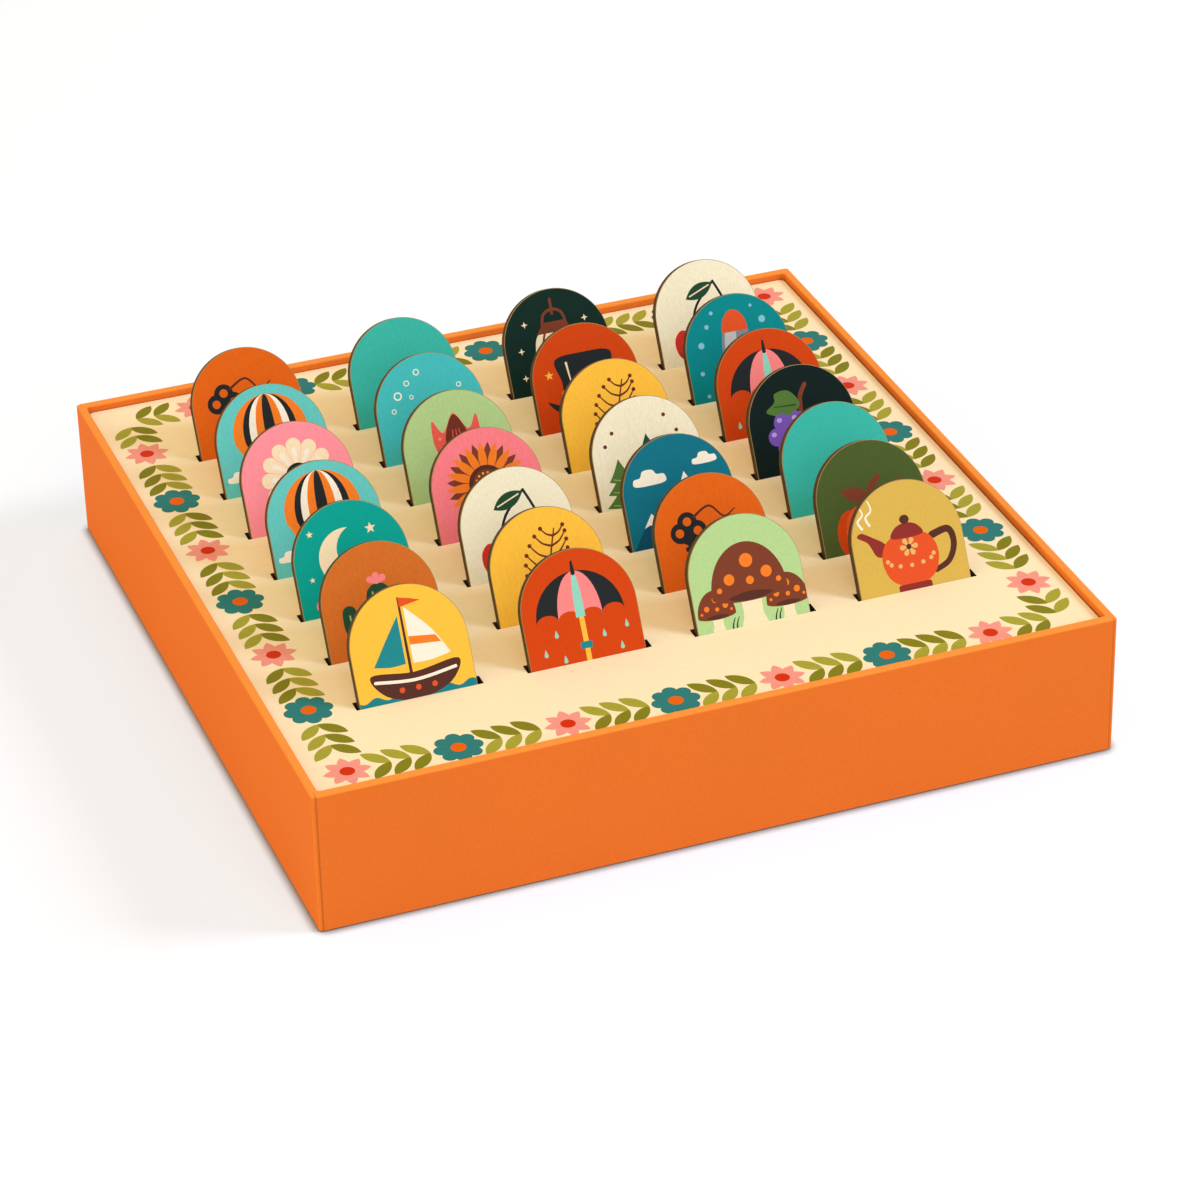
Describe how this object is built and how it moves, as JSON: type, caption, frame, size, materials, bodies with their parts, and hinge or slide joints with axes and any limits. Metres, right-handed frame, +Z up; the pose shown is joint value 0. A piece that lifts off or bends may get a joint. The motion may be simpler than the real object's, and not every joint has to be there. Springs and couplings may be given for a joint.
{
  "type": "memory card game",
  "caption": "Square paper-covered tray with a slotted board on ribs, in which rows of arched picture tiles stand leaning back.",
  "frame": {"origin": "centre of the box's underside", "axes": "+Z up, -Y the front of the box, +X to the right seen from the front"},
  "size_m": [0.24, 0.24, 0.0699],
  "materials": {
    "covering_paper": "matt, fine grain",
    "plain_paper": "matt",
    "tape_paper": "matt",
    "greyboard": "raw",
    "deck_wood": "printed, matt lacquer, dark cut edges",
    "tile_orange": "printed face, dark brown cut edge",
    "tile_turquoise": "printed face, dark brown cut edge",
    "tile_pink": "printed face, dark brown cut edge",
    "tile_sea_green": "printed face, dark brown cut edge",
    "tile_burnt_orange": "printed face, dark brown cut edge",
    "tile_yellow": "printed face, dark brown cut edge",
    "tile_teal": "printed face, dark brown cut edge",
    "tile_sky_blue": "printed face, dark brown cut edge",
    "tile_light_green": "printed face, dark brown cut edge",
    "tile_coral": "printed face, dark brown cut edge",
    "tile_cream": "printed face, dark brown cut edge",
    "tile_red_orange": "printed face, dark brown cut edge",
    "tile_black_green": "printed face, dark brown cut edge",
    "tile_blue": "printed face, dark brown cut edge",
    "tile_mint": "printed face, dark brown cut edge",
    "tile_dark_teal": "printed face, dark brown cut edge",
    "tile_black": "printed face, dark brown cut edge",
    "tile_dark_green": "printed face, dark brown cut edge",
    "tile_tan": "printed face, dark brown cut edge"
  },
  "bodies": {
    "box": {"bottom_sheet": "covering_paper", "wrap_paper": "covering_paper", "front_wall": "greyboard", "back_wall": "greyboard", "left_wall": "greyboard", "right_wall": "greyboard", "floor_board": "greyboard", "floor_lining": "plain_paper", "corner_stays": "tape_paper"},
    "insert": {"rest_panel": "greyboard", "guide_panel": "greyboard", "deck_panel": "deck_wood", "upper_spacer_1": "greyboard", "upper_spacer_2": "greyboard", "upper_spacer_3": "greyboard", "upper_spacer_4": "greyboard", "upper_spacer_5": "greyboard", "lower_spacer_1": "greyboard", "lower_spacer_2": "greyboard", "lower_spacer_3": "greyboard", "lower_spacer_4": "greyboard", "lower_spacer_5": "greyboard", "riser_rib_1": "greyboard", "riser_rib_2": "greyboard", "riser_rib_3": "greyboard", "riser_rib_4": "greyboard", "riser_rib_5": "greyboard", "cross_rib_1": "greyboard", "cross_rib_2": "greyboard", "cross_rib_3": "greyboard"},
    "tile_r1_c1": {"tile_r1_c1": "tile_orange"},
    "tile_r1_c2": {"tile_r1_c2": "tile_teal"},
    "tile_r1_c3": {"tile_r1_c3": "tile_black_green"},
    "tile_r1_c4": {"tile_r1_c4": "tile_cream"},
    "tile_r2_c1": {"tile_r2_c1": "tile_turquoise"},
    "tile_r2_c2": {"tile_r2_c2": "tile_sky_blue"},
    "tile_r2_c3": {"tile_r2_c3": "tile_red_orange"},
    "tile_r2_c4": {"tile_r2_c4": "tile_dark_teal"},
    "tile_r3_c1": {"tile_r3_c1": "tile_pink"},
    "tile_r3_c2": {"tile_r3_c2": "tile_light_green"},
    "tile_r3_c3": {"tile_r3_c3": "tile_yellow"},
    "tile_r3_c4": {"tile_r3_c4": "tile_red_orange"},
    "tile_r4_c1": {"tile_r4_c1": "tile_turquoise"},
    "tile_r4_c2": {"tile_r4_c2": "tile_coral"},
    "tile_r4_c3": {"tile_r4_c3": "tile_cream"},
    "tile_r4_c4": {"tile_r4_c4": "tile_black"},
    "tile_r5_c1": {"tile_r5_c1": "tile_sea_green"},
    "tile_r5_c2": {"tile_r5_c2": "tile_cream"},
    "tile_r5_c3": {"tile_r5_c3": "tile_blue"},
    "tile_r5_c4": {"tile_r5_c4": "tile_teal"},
    "tile_r6_c1": {"tile_r6_c1": "tile_burnt_orange"},
    "tile_r6_c2": {"tile_r6_c2": "tile_yellow"},
    "tile_r6_c3": {"tile_r6_c3": "tile_orange"},
    "tile_r6_c4": {"tile_r6_c4": "tile_dark_green"},
    "tile_r7_c1": {"tile_r7_c1": "tile_yellow"},
    "tile_r7_c2": {"tile_r7_c2": "tile_red_orange"},
    "tile_r7_c3": {"tile_r7_c3": "tile_mint"},
    "tile_r7_c4": {"tile_r7_c4": "tile_tan"}
  },
  "joints": [
    {"name": "insert_lift", "type": "slide", "parent": "box", "child": "insert", "axis": [0, 0, 1], "range_m": [0, 0.045]},
    {"name": "tile_r1_c1_pull", "type": "slide", "parent": "insert", "child": "tile_r1_c1", "axis": [0, 0.4695, 0.8829], "range_m": [0, 0.05]},
    {"name": "tile_r1_c2_pull", "type": "slide", "parent": "insert", "child": "tile_r1_c2", "axis": [0, 0.4695, 0.8829], "range_m": [0, 0.05]},
    {"name": "tile_r1_c3_pull", "type": "slide", "parent": "insert", "child": "tile_r1_c3", "axis": [0, 0.4695, 0.8829], "range_m": [0, 0.05]},
    {"name": "tile_r1_c4_pull", "type": "slide", "parent": "insert", "child": "tile_r1_c4", "axis": [0, 0.4695, 0.8829], "range_m": [0, 0.05]},
    {"name": "tile_r2_c1_pull", "type": "slide", "parent": "insert", "child": "tile_r2_c1", "axis": [0, 0.4695, 0.8829], "range_m": [0, 0.05]},
    {"name": "tile_r2_c2_pull", "type": "slide", "parent": "insert", "child": "tile_r2_c2", "axis": [0, 0.4695, 0.8829], "range_m": [0, 0.05]},
    {"name": "tile_r2_c3_pull", "type": "slide", "parent": "insert", "child": "tile_r2_c3", "axis": [0, 0.4695, 0.8829], "range_m": [0, 0.05]},
    {"name": "tile_r2_c4_pull", "type": "slide", "parent": "insert", "child": "tile_r2_c4", "axis": [0, 0.4695, 0.8829], "range_m": [0, 0.05]},
    {"name": "tile_r3_c1_pull", "type": "slide", "parent": "insert", "child": "tile_r3_c1", "axis": [0, 0.4695, 0.8829], "range_m": [0, 0.05]},
    {"name": "tile_r3_c2_pull", "type": "slide", "parent": "insert", "child": "tile_r3_c2", "axis": [0, 0.4695, 0.8829], "range_m": [0, 0.05]},
    {"name": "tile_r3_c3_pull", "type": "slide", "parent": "insert", "child": "tile_r3_c3", "axis": [0, 0.4695, 0.8829], "range_m": [0, 0.05]},
    {"name": "tile_r3_c4_pull", "type": "slide", "parent": "insert", "child": "tile_r3_c4", "axis": [0, 0.4695, 0.8829], "range_m": [0, 0.05]},
    {"name": "tile_r4_c1_pull", "type": "slide", "parent": "insert", "child": "tile_r4_c1", "axis": [0, 0.4695, 0.8829], "range_m": [0, 0.05]},
    {"name": "tile_r4_c2_pull", "type": "slide", "parent": "insert", "child": "tile_r4_c2", "axis": [0, 0.4695, 0.8829], "range_m": [0, 0.05]},
    {"name": "tile_r4_c3_pull", "type": "slide", "parent": "insert", "child": "tile_r4_c3", "axis": [0, 0.4695, 0.8829], "range_m": [0, 0.05]},
    {"name": "tile_r4_c4_pull", "type": "slide", "parent": "insert", "child": "tile_r4_c4", "axis": [0, 0.4695, 0.8829], "range_m": [0, 0.05]},
    {"name": "tile_r5_c1_pull", "type": "slide", "parent": "insert", "child": "tile_r5_c1", "axis": [0, 0.4695, 0.8829], "range_m": [0, 0.05]},
    {"name": "tile_r5_c2_pull", "type": "slide", "parent": "insert", "child": "tile_r5_c2", "axis": [0, 0.4695, 0.8829], "range_m": [0, 0.05]},
    {"name": "tile_r5_c3_pull", "type": "slide", "parent": "insert", "child": "tile_r5_c3", "axis": [0, 0.4695, 0.8829], "range_m": [0, 0.05]},
    {"name": "tile_r5_c4_pull", "type": "slide", "parent": "insert", "child": "tile_r5_c4", "axis": [0, 0.4695, 0.8829], "range_m": [0, 0.05]},
    {"name": "tile_r6_c1_pull", "type": "slide", "parent": "insert", "child": "tile_r6_c1", "axis": [0, 0.4695, 0.8829], "range_m": [0, 0.05]},
    {"name": "tile_r6_c2_pull", "type": "slide", "parent": "insert", "child": "tile_r6_c2", "axis": [0, 0.4695, 0.8829], "range_m": [0, 0.05]},
    {"name": "tile_r6_c3_pull", "type": "slide", "parent": "insert", "child": "tile_r6_c3", "axis": [0, 0.4695, 0.8829], "range_m": [0, 0.05]},
    {"name": "tile_r6_c4_pull", "type": "slide", "parent": "insert", "child": "tile_r6_c4", "axis": [0, 0.4695, 0.8829], "range_m": [0, 0.05]},
    {"name": "tile_r7_c1_pull", "type": "slide", "parent": "insert", "child": "tile_r7_c1", "axis": [0, 0.4695, 0.8829], "range_m": [0, 0.05]},
    {"name": "tile_r7_c2_pull", "type": "slide", "parent": "insert", "child": "tile_r7_c2", "axis": [0, 0.4695, 0.8829], "range_m": [0, 0.05]},
    {"name": "tile_r7_c3_pull", "type": "slide", "parent": "insert", "child": "tile_r7_c3", "axis": [0, 0.4695, 0.8829], "range_m": [0, 0.05]},
    {"name": "tile_r7_c4_pull", "type": "slide", "parent": "insert", "child": "tile_r7_c4", "axis": [0, 0.4695, 0.8829], "range_m": [0, 0.05]}
  ]
}
